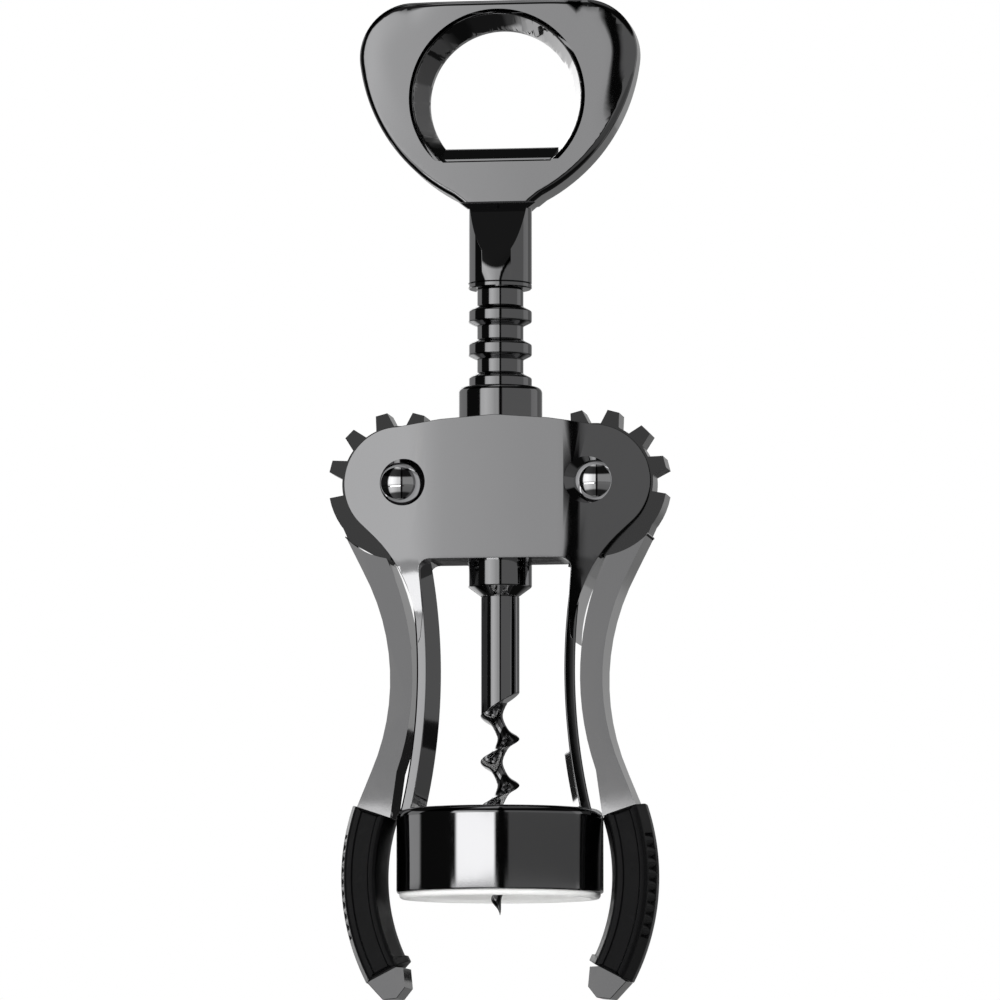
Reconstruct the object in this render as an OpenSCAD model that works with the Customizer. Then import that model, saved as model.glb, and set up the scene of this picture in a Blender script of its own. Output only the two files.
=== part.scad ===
// Wing corkscrew: a bell frame that sits on the bottle's neck, a ringed rack that the two
// toothed levers push down and pull up, and a turning handle with a screw and a cap opener.
// Millimetres, +Z up. The origin is on the screw's axis, in the plane of the bell's mouth.

/* [Bell] */
// Outer radius of the bell
bell_r = 18; // [16:0.5:22]
// Height of the bell's metal wall
bell_h = 14.5; // [12:0.5:20]
// Thickness of the bell's metal wall
bell_wall = 1.3; // [1:0.1:1.6]
// Thickness of the bell's metal top
bell_top_t = 1.8; // [1.2:0.1:2.4]
// Radius of the hole that the cork rises through
cork_r = 12.7; // [12:0.1:13.2]
// Thickness of the liner's wall
liner_wall = 1.4; // [1:0.1:1.8]
// Height of the liner's lip below the bell
lip_h = 1; // [0.6:0.1:1.6]

/* [Frame] */
// Height of the window between the legs
window_h = 43.4; // [38:0.5:52]
// Height from the window's top to the lever pivots
pivot_rise = 13.5; // [13.4:0.1:15]
// Radius of a cheek's round end about its pivot
cheek_r = 9.75; // [9:0.05:10]
// Thickness of the yoke at its middle, front to back
yoke_t = 15; // [14.8:0.1:17]
// Radius of the yoke's slightly domed front and back
yoke_dome_r = 170; // [160:10:400]
// Distance from the axis to a leg's inside at its waist
leg_in = 11.5; // [11.2:0.1:12]
// Width of a leg
leg_w = 2; // [1.8:0.1:2.6]
// Depth of a leg, front to back
leg_t = 12; // [9:0.5:13]
// Radius of a leg's bow
leg_bow_r = 105; // [95:5:130]
// Outer radius of the collar that guides the rack
collar_r = 7.4; // [7:0.1:7.4]
// Height of the collar above the pivots
collar_rise = 17; // [15.5:0.1:17.2]

/* [Rack] */
// Distance from one ring of the rack to the next
ring_pitch = 5.9; // [5.6:0.05:6.4]
// Outer radius of the rings
ring_r = 5.58; // [5.3:0.02:5.6]
// Radius of the grooves between the rings
groove_r = 4.1; // [3.8:0.05:4.2]
// Thickness of a ring at its edge
ring_edge = 1.9; // [1.5:0.1:2]
// Thickness of a ring at its root
ring_root = 3.4; // [2.8:0.1:3.5]
// How far the rack travels down
travel = 31; // [24:0.5:31]

/* [Levers] */
// Thickness of a lever's toothed end
gear_t = 7; // [5:0.1:7.4]
// Thickness of a lever's arm
arm_t = 10; // [8:0.5:11]
// Width of a lever's arm at its waist
arm_w = 3.9; // [3.6:0.1:5]
// Gap between a lever and its leg at the waist
arm_gap = 1.2; // [0.6:0.1:2]
// Gap between a grip and the bell
grip_gap = 1.85; // [1.4:0.05:3]
// Width of a grip, seen from the front
grip_w = 7.85; // [7:0.05:9]
// Depth of a grip, front to back
grip_t = 12.4; // [11:0.1:14]
// Radius of a grip's bow, at its inner side
grip_bow_r = 32; // [30:0.5:38]
// Thickness of the grip's sleeve around the arm
sleeve_wall = 1.6; // [1.2:0.1:2]
// Radius of the pivot pins
pin_r = 2; // [1.6:0.1:2.4]

/* [Handle] */
// Width of the opener head
head_w = 49.2; // [46:0.2:54]
// Height of the opener head above its stem
head_h = 35.7; // [34:0.1:40]
// Thickness of the opener head
head_t = 8.8; // [7:0.2:10]
// Radius of the opener's throat
throat_r = 12.9; // [12:0.1:13.4]
// Height of the stem's straight part
stem_h = 14; // [12:0.5:20]
// Outer radius of the screw's thread and shank
worm_r = 3.4; // [3:0.1:4]
// Distance from one turn of the screw to the next
worm_pitch = 8.1; // [7:0.1:10]
// How far the screw's point is below the bell's mouth
tip_drop = 2.8; // [1:0.1:6]
// Radius of the spindle that runs up through the rack
spindle_r = 2.4; // [2:0.1:2.5]

/* [Hidden] */
$fn = 64;

// Clearances
run_gap = 0.05;      // shaft in its bearing
slide_gap = 0.08;    // rack in the frame's bore
side_gap = 0.3;      // toothed end beside each cheek
end_gap = 0.1;       // turning face beside a still one
tip_gap = 0.4;       // lever's tooth in its slot

// Heights, from the bell's mouth up
bell_top = lip_h + bell_h;
yoke_z = bell_top + window_h;
pivot_z = yoke_z + pivot_rise;
collar_top = pivot_z + collar_rise;
waist_z = bell_top + 0.55 * window_h;

// Rack and levers in mesh: twelve teeth would go round a whole lever
TEETH = 12;
gear_pitch_r = TEETH * ring_pitch / 360 * 180 / PI;
pitch_gap = 0.31;                     // pitch line outside the rings
pivot_x = gear_pitch_r + ring_r + pitch_gap;
tip_r = pivot_x - groove_r - 0.43;    // lever's teeth reach nearly to the groove
root_r = gear_pitch_r - 1.07;
tooth_tip = 0.84 * (ring_pitch - ring_root);
tooth_root = ring_pitch - ring_edge - 0.8;
slot_floor = 0.38;                    // least metal under a lever's slot
slot_r = max(tip_r + tip_gap, pivot_rise - slot_floor);
slot_w = gear_t + 2 * side_gap;
shoulder_r = slot_r + 0.2;            // where the arm's full thickness begins
HALF_STEP = 180 / TEETH;
heel_angle = 190.5;                     // from the rack round to the arm's outer corner

// Rack
RINGS = 6;
top_ring_z = pivot_z + (RINGS - 1) * ring_pitch;
foot_h = 13.7;                        // foot below the lowest ring
foot_z = pivot_z - ring_pitch - foot_h;
foot_bevel = 1.6;
neck_z = top_ring_z + 4.8;
washer_t = 0.95;
bore_r = ring_r + slide_gap;

// Pins
pin_head_r = 3.1;
pin_head_h = 1.1;
recess_r = 4.5;
recess_depth = 1;
dome_drop = yoke_dome_r - sqrt(pow(yoke_dome_r, 2) - pow(pivot_x, 2));
cheek_y = yoke_t / 2 - dome_drop;     // front of a cheek at its pivot
seat_y = cheek_y - recess_depth;

// Handle
stem_z = neck_z + washer_t + end_gap;
head_z = stem_z + stem_h;
head_top = head_z + head_h;
stud_r = 1.5;                         // the spindle's upper end, fixed in the stem
stud_top = head_z + 3;
scoop_h = 10.5;                       // height of the slanted cuts in the stem
web_t = 4.4;                          // what they leave of the stem at their top
corner_r = 9.5;
flank_r = 31.7;
flank_angle = 7.4;
throat_z = head_top - 17.2;
catch_drop = 8.1;                     // flat that lifts the cap, below the throat's centre
throat_land = 1.8;                    // straight part of the throat, at the back
lead_in = 2;                          // how far the throat opens out, at the front
catch_bevel = 3.4;                    // how far the flat falls, at the front

// Screw
shank_top = foot_z - end_gap;
shank_h = 18.7;
helix_top = shank_top - shank_h;
worm_core = 0.5;                      // how far the drop reaches past the axis
worm_half_w = 1.16;
thread_out_z = helix_top - 6.3;       // height where the thread points to +X
taper_h = 6;                          // length of the tapered point
WORM_STEPS = 24;
WORM_SECTION = 12;

// Levers, drawn for the right side
arm_in = leg_in + leg_w + arm_gap;
arm_in_r = 50;
arm_out_r = 40;
grip_in_x = bell_r + grip_gap;
grip_cx = grip_in_x - grip_bow_r;
grip_cz = lip_h + 2.75;
grip_out_r = grip_bow_r + grip_w;
grip_up = 18.5;                       // grip's upper end, in degrees about its bow
grip_down = -27.5;
core_in_r = grip_bow_r + sleeve_wall;
core_out_r = grip_out_r - sleeve_wall;
core_t = grip_t - 2 * sleeve_wall;
tip_len = 5;                          // lever's bare end below the grip
RIBS = 9;
rib_step = 2.9;                       // degrees from one groove of the grip to the next
rib_r = 0.9;
rib_depth = 0.45;
grip_edge = 1.1;                      // width of the bevels along the grip's front and back
grip_round = 4;                       // how far back the bevels run

function arc(c, r, from, to, n = 16) =
    [for (i = [0:n]) let (t = from + (to - from) * i / n) c + r * [cos(t), sin(t)]];
function mirrored(points) = [for (i = [len(points) - 1:-1:0]) [-points[i][0], points[i][1]]];

// An upright outline, drawn in X and Z, made a plate about the XZ plane
module upright(t) {
    rotate([90, 0, 0]) linear_extrude(height = t, center = true) children();
}

// A cylinder along Y
module across(r, from, to) {
    translate([0, to, 0]) rotate([90, 0, 0]) cylinder(r = r, h = to - from);
}

module both_sides() {
    children();
    mirror([1, 0, 0]) children();
}

// ---- Frame ----

function yoke_side() =
    let (flare_r = 26, c = [pivot_x + 22.44, pivot_z - 28])
    concat(arc(c, flare_r, 180, 135, 10),
        arc([pivot_x, pivot_z], cheek_r, -45, 90, 18),
        [[collar_r + 2, pivot_z + 10.9]]);

module yoke_block() {
    intersection() {
        upright(yoke_t) polygon(concat(
            [[leg_in + 0.4, yoke_z - 8], [leg_in + 0.4, yoke_z - 1.6], [leg_in - 1.2, yoke_z]],
            [[0, yoke_z], [0, pivot_z + 11.6]],
            [for (i = [len(yoke_side()) - 1:-1:0]) yoke_side()[i]]));
        translate([0, yoke_dome_r - yoke_t / 2, yoke_z - 20]) cylinder(r = yoke_dome_r, h = 60, $fn = 200);
        translate([0, yoke_t / 2 - yoke_dome_r, yoke_z - 20]) cylinder(r = yoke_dome_r, h = 60, $fn = 200);
    }
}

module leg() {
    in_r = leg_bow_r;
    up = asin((yoke_z + 1 - waist_z) / in_r);
    down = asin((waist_z - bell_top + 1) / in_r);
    edge = 0.5;
    w = leg_w;
    t = leg_t / 2;
    translate([leg_in + in_r, 0, waist_z]) rotate([90, 0, 0]) rotate([0, 0, 180 - up])
        rotate_extrude(angle = up + down, $fn = 128)
            polygon([[in_r - w, edge - t], [in_r - w + edge, -t], [in_r - edge, -t], [in_r, edge - t],
                [in_r, t - edge], [in_r - edge, t], [in_r - w + edge, t], [in_r - w, t - edge]]);
}

module bell_body() {
    round_r = 1.4;
    rotate_extrude() polygon(concat(
        [[bell_r - bell_wall, lip_h], [bell_r, lip_h]],
        arc([bell_r - round_r, bell_top - round_r], round_r, 0, 90, 6),
        [[cork_r, bell_top], [cork_r, bell_top - bell_top_t],
            [bell_r - bell_wall, bell_top - bell_top_t]]));
}

module collar_body() {
    round_r = 1;
    rotate_extrude() polygon(concat([[0, yoke_z], [collar_r, yoke_z]],
        arc([collar_r - round_r, collar_top - round_r], round_r, 0, 90, 6), [[0, collar_top]]));
}

module lever_slot() {
    translate([pivot_x, 0, pivot_z]) across(slot_r, -slot_w / 2, slot_w / 2);
    translate([pivot_x - 8, -slot_w / 2, pivot_z]) cube([30, slot_w, 30]);
}

module frame() {
    color("dimgray") difference() {
        union() {
            both_sides() yoke_block();
            both_sides() leg();
            bell_body();
            collar_body();
        }
        translate([0, 0, yoke_z - 1]) cylinder(r = bore_r, h = 60);
        both_sides() {
            lever_slot();
            translate([pivot_x, 0, pivot_z]) {
                across(pin_r, -yoke_t, yoke_t);
                across(recess_r, seat_y, yoke_t);
                across(recess_r, -yoke_t, -seat_y);
            }
        }
    }
}

module bell_liner() {
    out_r = bell_r - bell_wall;
    in_r = out_r - liner_wall;
    top = bell_top - bell_top_t;
    shelf = 1.5;
    lip_r = bell_r - 0.5;
    round_r = lip_h * 0.6;
    color("white") rotate_extrude() polygon(concat(
        [[in_r + 0.5, 0]],
        arc([lip_r - round_r, round_r], round_r, -90, 0, 5),
        [[lip_r, lip_h], [out_r, lip_h], [out_r, top], [cork_r, top], [cork_r, top - shelf],
            [in_r, top - shelf], [in_r, 0.5]]));
}

module pivot_pin() {
    crown_r = (pow(pin_head_r, 2) + pow(pin_head_h, 2)) / (2 * pin_head_h);
    crown = asin(pin_head_r / crown_r);
    upper = arc([0, seat_y + pin_head_h - crown_r], crown_r, 90, 90 - crown, 8);
    color("silver") translate([pivot_x, 0, pivot_z]) rotate([90, 0, 0]) rotate_extrude() polygon(concat(
        upper, [[pin_r, seat_y], [pin_r, -seat_y]],
        [for (i = [len(upper) - 1:-1:0]) [upper[i][0], -upper[i][1]]]));
}

module pivot_pin_right() { pivot_pin(); }
module pivot_pin_left() { mirror([1, 0, 0]) pivot_pin(); }

// ---- Rack ----

module rack_sleeve() {
    slope = (ring_root - ring_edge) / 2;
    edge = ring_edge / 2;
    color("dimgray") rotate_extrude() polygon(concat(
        [[spindle_r + run_gap, foot_z], [worm_r, foot_z], [ring_r, foot_z + foot_bevel],
            [ring_r, pivot_z - ring_pitch + edge], [groove_r, pivot_z - ring_pitch + edge + slope]],
        [for (n = [0:RINGS - 1], p = [[groove_r, -edge - slope], [ring_r, -edge], [ring_r, edge],
            [groove_r, edge + slope]]) [p[0], pivot_z + n * ring_pitch + p[1]]],
        [[groove_r, neck_z], [spindle_r + run_gap, neck_z]]));
}

module thrust_washer() {
    color("dimgray") translate([0, 0, neck_z + end_gap / 2]) difference() {
        cylinder(r = ring_r, h = washer_t);
        translate([0, 0, -1]) cylinder(r = spindle_r + run_gap, h = washer_t + 2);
    }
}

// ---- Handle ----

function head_outline() =
    let (c = [head_w / 2 - corner_r, head_top - corner_r],
        flank = c - (flank_r - corner_r) * [cos(flank_angle), -sin(flank_angle)],
        low = asin(min(0.98, (flank[1] - head_z - 1) / flank_r)))
    concat([[ring_r, head_z - 1]], arc(flank, flank_r, -low, -flank_angle, 16),
        arc(c, corner_r, -flank_angle, 90, 12));

// The opener's throat: round, with a flat below that catches the cap, and opening out to the front
module throat() {
    flat_z = throat_z - catch_drop;
    bevel_y = head_t / 2 - throat_land;
    tilt = atan(catch_bevel / (head_t - throat_land));
    intersection() {
        translate([0, 0, throat_z]) across(throat_r, -head_t, head_t);
        translate([-30, -head_t, flat_z]) cube([60, 2 * head_t, 60]);
    }
    intersection() {
        translate([0, bevel_y, throat_z]) rotate([90, 0, 0])
            cylinder(r1 = throat_r, r2 = throat_r + 2 * lead_in, h = 2 * (head_t - throat_land), $fn = 96);
        translate([0, bevel_y, flat_z]) rotate([tilt, 0, 0]) translate([-30, -3 * head_t, 0])
            cube([60, 3 * head_t, 60]);
    }
}

// The slanted cuts that thin the stem to a web under the plate, front and back
module scallop() {
    low_z = head_z - scoop_h;
    lean = atan((ring_r - web_t / 2) / scoop_h);
    for (s = [-1, 1]) scale([1, s, 1]) intersection() {
        translate([0, -ring_r, low_z]) rotate([-lean, 0, 0]) translate([-ring_r - 1, -30, 0])
            cube([2 * ring_r + 2, 30, 60]);
        translate([-ring_r - 1, -30, low_z]) cube([2 * ring_r + 2, 30, scoop_h]);
    }
}

module opener_head() {
    color("gray") difference() {
        union() {
            upright(head_t) polygon(concat(head_outline(), mirrored(head_outline())));
            translate([0, 0, stem_z]) cylinder(r = ring_r, h = stem_h);
        }
        throat();
        scallop();
        translate([0, 0, stem_z - 1]) cylinder(r = stud_r, h = stud_top - stem_z + 1);
    }
}

// The screw's section across its axis: a drop that reaches out to the thread on one side only
function worm_drop() =
    [for (i = [0:WORM_SECTION - 1]) let (t = 360 * i / WORM_SECTION)
        [(worm_r - worm_core) / 2 + (worm_r + worm_core) / 2 * cos(t),
            worm_half_w * sin(t) * (1 - 0.3 * cos(t))]];

module worm_thread() {
    m = WORM_SECTION;
    height = helix_top + tip_drop;
    last = ceil(height / worm_pitch * WORM_STEPS);
    points = [for (k = [0:last]) let (h = height * k / last, size = max(0.05, min(1, h / taper_h)),
            a = 360 * (h - tip_drop - thread_out_z) / worm_pitch)
        each [for (p = worm_drop()) [size * (p[0] * cos(a) - p[1] * sin(a)),
            size * (p[0] * sin(a) + p[1] * cos(a)), h - tip_drop]]];
    polyhedron(points = points, faces = concat(
        [[for (i = [0:m - 1]) i]],
        [[for (i = [m - 1:-1:0]) last * m + i]],
        [for (k = [0:last - 1], i = [0:m - 1]) let (j = (i + 1) % m)
            each [[k * m + i, (k + 1) * m + i, (k + 1) * m + j], [k * m + i, (k + 1) * m + j, k * m + j]]]),
        convexity = 8);
}

module worm() {
    color("silver") {
        worm_thread();
        translate([0, 0, helix_top]) cylinder(r = worm_r, h = shank_top - helix_top);
        translate([0, 0, shank_top - 1]) cylinder(r = spindle_r, h = stem_z - shank_top + 1);
        translate([0, 0, stem_z - 1]) cylinder(r = stud_r, h = stud_top - stem_z + 1);
    }
}

// ---- Levers ----

function shoulder_point(angle) = [pivot_x, pivot_z] + shoulder_r * [cos(angle), sin(angle)];

module tooth() {
    polygon([[root_r - 1, -tooth_root / 2 - 0.3], [root_r, -tooth_root / 2], [tip_r, -tooth_tip / 2],
        [tip_r, tooth_tip / 2], [root_r, tooth_root / 2], [root_r - 1, tooth_root / 2 + 0.3]]);
}

module toothed_end() {
    heel = 180 - heel_angle;
    translate([pivot_x, pivot_z]) {
        circle(r = root_r, $fn = 72);
        for (k = [-2:TEETH / 2 - 1]) rotate(180 - HALF_STEP * (2 * k + 1)) tooth();
        polygon(concat([[0, 0]], arc([0, 0], tip_r, heel, -83, 12)));
    }
}

function arm_outer(z) =
    let (c = [arm_in + arm_w + arm_out_r, waist_z - 1.4], turn_z = waist_z + 16.6,
        h = min(z, turn_z) - c[1], x = c[0] - sqrt(pow(arm_out_r, 2) - pow(h, 2)))
    x + max(0, z - turn_z) * h / sqrt(pow(arm_out_r, 2) - pow(h, 2));

function arm_inner(z) =
    arm_in + arm_in_r - sqrt(pow(arm_in_r, 2) - pow(z - waist_z + 1, 2));

module arm_shape() {
    low_z = bell_top + 6.5;
    high_z = pivot_z - 9.2;
    root_z = pivot_z - 13.3;
    n = 14;
    low_in = [grip_cx, grip_cz] + (grip_bow_r + 0.4) * [cos(grip_up), sin(grip_up)];
    low_out = [grip_cx, grip_cz] + (core_out_r + 0.3) * [cos(grip_up), sin(grip_up)];
    polygon(concat(
        [low_in],
        [for (i = [0:n]) let (z = low_z + (root_z - low_z) * i / n) [arm_inner(z), z]],
        arc([pivot_x, pivot_z], shoulder_r, -80.5, -45, 8),
        [for (i = [n:-1:0]) let (z = low_z + (high_z - low_z) * i / n) [arm_outer(z), z]],
        [low_out]));
}

module grip_bow(r_in, r_out, t, from, to) {
    translate([grip_cx, 0, grip_cz]) rotate([90, 0, 0]) rotate([0, 0, from])
        rotate_extrude(angle = to - from, $fn = 128)
            translate([r_in, -t / 2]) square([r_out - r_in, t]);
}

module lever() {
    difference() {
        union() {
            upright(gear_t) toothed_end();
            upright(arm_t) arm_shape();
            upright(gear_t) heel_web();
            grip_bow(core_in_r, core_out_r, core_t, grip_down, grip_up + 1);
            lever_tip();
        }
        translate([pivot_x, 0, pivot_z]) across(pin_r + run_gap, -gear_t, gear_t);
    }
}

// The part of the arm that is no thicker than the teeth, between them and the shoulder
module heel_web() {
    heel = 180 - heel_angle;
    polygon([[pivot_x, pivot_z], [pivot_x, pivot_z] + tip_r * [cos(heel), sin(heel)],
        [arm_outer(pivot_z - 10), pivot_z - 10], [arm_inner(pivot_z - 14), pivot_z - 14]]);
}

// The lever's bare end below the grip, placed by radius from the grip's bow and by length past its end
module lever_tip() {
    u = [cos(grip_down), sin(grip_down)];
    v = [sin(grip_down), -cos(grip_down)];
    inset = 0.1;
    upright(core_t) polygon([for (p = [[core_in_r + inset, -1], [core_out_r - inset, -1],
        [core_out_r - inset, end_gap], [grip_out_r - 0.5, end_gap], [core_out_r, tip_len - 0.9],
        [core_in_r + 2.4, tip_len], [core_in_r + 0.2, tip_len - 1], [grip_bow_r + 0.5, 0.8],
        [core_in_r + inset, end_gap]]) [grip_cx, grip_cz] + p[0] * u + p[1] * v]);
}

module lever_right() { color("gray") lever(); }
module lever_left() { color("gray") mirror([1, 0, 0]) lever(); }

module grip_skin() {
    t = grip_t / 2;
    face = t - grip_round;
    translate([grip_cx, 0, grip_cz]) rotate([90, 0, 0]) rotate([0, 0, grip_down])
        rotate_extrude(angle = grip_up - grip_down, $fn = 128)
            polygon([[grip_bow_r, -face], [grip_bow_r + grip_edge, -t], [grip_out_r - grip_edge, -t],
                [grip_out_r, -face], [grip_out_r, face], [grip_out_r - grip_edge, t],
                [grip_bow_r + grip_edge, t], [grip_bow_r, face]]);
}

module grip() {
    rib_mid = (grip_up + grip_down) / 2 + 2;
    rib_half_t = grip_t / 2 - 1.4;
    difference() {
        grip_skin();
        grip_bow(core_in_r, core_out_r, core_t, grip_down - 1, grip_up + 1);
        translate([grip_cx, 0, grip_cz]) for (i = [0:RIBS - 1])
            rotate([0, -(rib_mid + (i - (RIBS - 1) / 2) * rib_step), 0])
                translate([grip_out_r + rib_r - rib_depth, 0, 0]) across(rib_r, -rib_half_t, rib_half_t);
    }
}

module grip_right() { color("black") grip(); }
module grip_left() { color("black") mirror([1, 0, 0]) grip(); }

frame();
bell_liner();
pivot_pin_left();
pivot_pin_right();
rack_sleeve();
thrust_washer();
opener_head();
worm();
lever_left();
lever_right();
grip_left();
grip_right();
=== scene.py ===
"""Wing corkscrew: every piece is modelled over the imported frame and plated, moulded or polished here."""

import math

import bmesh
import bpy
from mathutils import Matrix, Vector


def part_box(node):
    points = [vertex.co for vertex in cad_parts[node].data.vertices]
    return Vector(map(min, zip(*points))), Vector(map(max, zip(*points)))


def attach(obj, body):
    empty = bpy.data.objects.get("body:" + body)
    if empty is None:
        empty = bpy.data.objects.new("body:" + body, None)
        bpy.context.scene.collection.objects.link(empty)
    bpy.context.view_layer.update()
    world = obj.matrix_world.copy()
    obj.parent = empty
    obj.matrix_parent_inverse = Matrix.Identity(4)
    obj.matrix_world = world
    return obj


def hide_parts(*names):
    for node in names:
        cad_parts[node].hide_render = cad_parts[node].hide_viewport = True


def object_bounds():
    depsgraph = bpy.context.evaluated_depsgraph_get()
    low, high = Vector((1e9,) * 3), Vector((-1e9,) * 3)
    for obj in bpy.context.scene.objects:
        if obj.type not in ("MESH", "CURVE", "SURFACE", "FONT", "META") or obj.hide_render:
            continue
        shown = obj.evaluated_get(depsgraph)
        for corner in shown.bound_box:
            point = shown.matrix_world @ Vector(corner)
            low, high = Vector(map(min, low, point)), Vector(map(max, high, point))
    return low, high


bl_info = {
    "name": "Wing Corkscrew",
    "version": (1, 0, 0),
    "blender": (4, 5, 0),
    "location": "3D View > Sidebar > Corkscrew",
    "description": "Models a wing corkscrew with a bell, a ringed rack, geared levers and an opener head",
    "category": "Add Mesh",
}

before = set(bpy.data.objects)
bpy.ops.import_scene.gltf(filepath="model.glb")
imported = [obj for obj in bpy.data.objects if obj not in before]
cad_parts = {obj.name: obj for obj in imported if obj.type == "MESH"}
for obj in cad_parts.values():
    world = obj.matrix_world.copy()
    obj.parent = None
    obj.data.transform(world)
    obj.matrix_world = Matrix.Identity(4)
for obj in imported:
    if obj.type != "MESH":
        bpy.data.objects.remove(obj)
CAD_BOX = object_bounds()

MM = 0.001
MERGED = 0.001 * MM         # points nearer than this are one point
FRAME_LO, FRAME_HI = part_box("frame")
LINER_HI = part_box("bell_liner")[1]
PIN_LO, PIN_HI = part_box("pivot_pin_right")
RACK_LO, RACK_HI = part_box("rack_sleeve")
WASHER_LO, WASHER_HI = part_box("thrust_washer")
HEAD_LO, HEAD_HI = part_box("opener_head")
WORM_LO, WORM_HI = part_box("worm")
GRIP_LO, GRIP_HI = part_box("grip_right")

PIVOT_X = (PIN_LO.x + PIN_HI.x) / 2
PIVOT_Z = (PIN_LO.z + PIN_HI.z) / 2
BELL_R = FRAME_HI.y
LIP_H = FRAME_LO.z
LIP_R = LINER_HI.x
RACK_R = RACK_HI.x
STEM_Z = HEAD_LO.z
HEAD_TOP = HEAD_HI.z


# ---- Sizes, finishes and stage that a user would change ----


def length(label, about, default):
    return bpy.props.FloatProperty(
        name=label, description=about, default=default, unit="LENGTH", precision=5)


def turn(label, about, degrees):
    return bpy.props.FloatProperty(
        name=label, description=about, default=math.radians(degrees), subtype="ANGLE")


def share(label, about, default):
    return bpy.props.FloatProperty(
        name=label, description=about, default=default, min=0, max=1, subtype="FACTOR")


def paint(label, about, default):
    return bpy.props.FloatVectorProperty(
        name=label, description=about, default=default, min=0, max=1, size=3, subtype="COLOR")


class CorkscrewSizes(bpy.types.PropertyGroup):
    yoke_round: length("Yoke rounding", "How far the yoke's rim is rounded", 0.8 * MM)
    yoke_crown: length("Yoke crown", "Radius of the yoke's crowned middle, front and back", 420 * MM)
    cheek_slope: turn("Cheek slope", "How far the yoke's cheeks slope away on each side", 11.5)
    head_round: length("Head rounding", "How far the opener head's rim is rounded", 1.1 * MM)
    head_crown: length("Head crown", "Radius of the opener head's crowned middle, front and back", 420 * MM)
    head_slope: turn("Head slope", "How far the opener head's upper corners slope away", 9.2)
    arm_round: length("Arm rounding", "How far a lever's edges are rounded", 0.7 * MM)
    tooth_round: length("Tooth rounding", "How far the edges of the levers' teeth are rounded", 0.16 * MM)
    ring_round: length("Ring rounding", "How far the rack's rings are rounded", 0.22 * MM)
    leg_ridge: length("Leg ridge", "How far a leg's inside stands out at its middle", 1.7 * MM)
    leg_slope: turn("Leg slope", "How far a leg's front slopes away outwards", 8.5)
    panel_border: length("Panel border", "Width of the rim around a grip's sunk panel", 1.15 * MM)
    panel_depth: length("Panel depth", "Depth of a grip's sunk panel", 0.35 * MM)
    rib_depth: length("Rib depth", "Depth of the hollows between a grip's ribs", 0.5 * MM)


class CorkscrewFinishes(bpy.types.PropertyGroup):
    chrome: paint("Black chrome", "Colour of the dark plating", (0.31, 0.31, 0.315))
    chrome_worn: paint("Worn chrome", "Colour of the plating where it is handled", (0.37, 0.365, 0.36))
    bright: paint("Bright chrome", "Colour of the pivot pins", (0.82, 0.82, 0.83))
    grip: paint("Grip", "Colour of the grips", (0.003, 0.003, 0.0033))
    liner: paint("Liner", "Colour of the bell's liner", (0.83, 0.83, 0.82))
    wear: share("Wear", "How much the edges and handled places are worn", 0.35)


class CorkscrewStage(bpy.types.PropertyGroup):
    heading: turn("Heading", "How far the camera stands round to the right", 8)
    distance: length("Distance", "From the camera to the corkscrew's axis", 1.3)
    height: length("Height", "Of the camera above the bell's mouth", -0.06)
    view_height: length("View height", "Height of the object that fills the picture", 0.1747)
    floor_z: length("Floor", "Height of the floor", -0.085)


# ---- Modelling ----


def sizes():
    return bpy.context.scene.corkscrew_sizes


def finishes():
    return bpy.context.scene.corkscrew_finishes


def clear_selection():
    if bpy.context.object and bpy.context.object.mode != "OBJECT":
        bpy.ops.object.mode_set(mode="OBJECT")
    bpy.ops.object.select_all(action="DESELECT")


def only(piece):
    clear_selection()
    piece.select_set(True)
    bpy.context.view_layer.objects.active = piece


def edit(piece):
    only(piece)
    bpy.ops.object.mode_set(mode="EDIT")
    bpy.ops.mesh.select_all(action="SELECT")


def settle():
    """Puts the active object's place, turn and scale into its mesh."""
    bpy.ops.object.transform_apply(location=True, rotation=True, scale=True)


def named(name):
    piece = bpy.context.object
    piece.name = piece.data.name = name
    return piece


def modified(piece, kind, **settings):
    """Gives the piece a modifier with these settings and applies it."""
    only(piece)
    modifier = piece.modifiers.new(kind, kind)
    for key, value in settings.items():
        setattr(modifier, key, value)
    bpy.ops.object.modifier_apply(modifier=modifier.name)


def section(name, points):
    """A closed ring of vertices at the given places."""
    clear_selection()
    bpy.ops.mesh.primitive_circle_add(vertices=len(points), radius=MM, location=(0, 0, 0))
    piece = named(name)
    for vertex, point in zip(piece.data.vertices, points):
        vertex.co = point
    return piece


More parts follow.
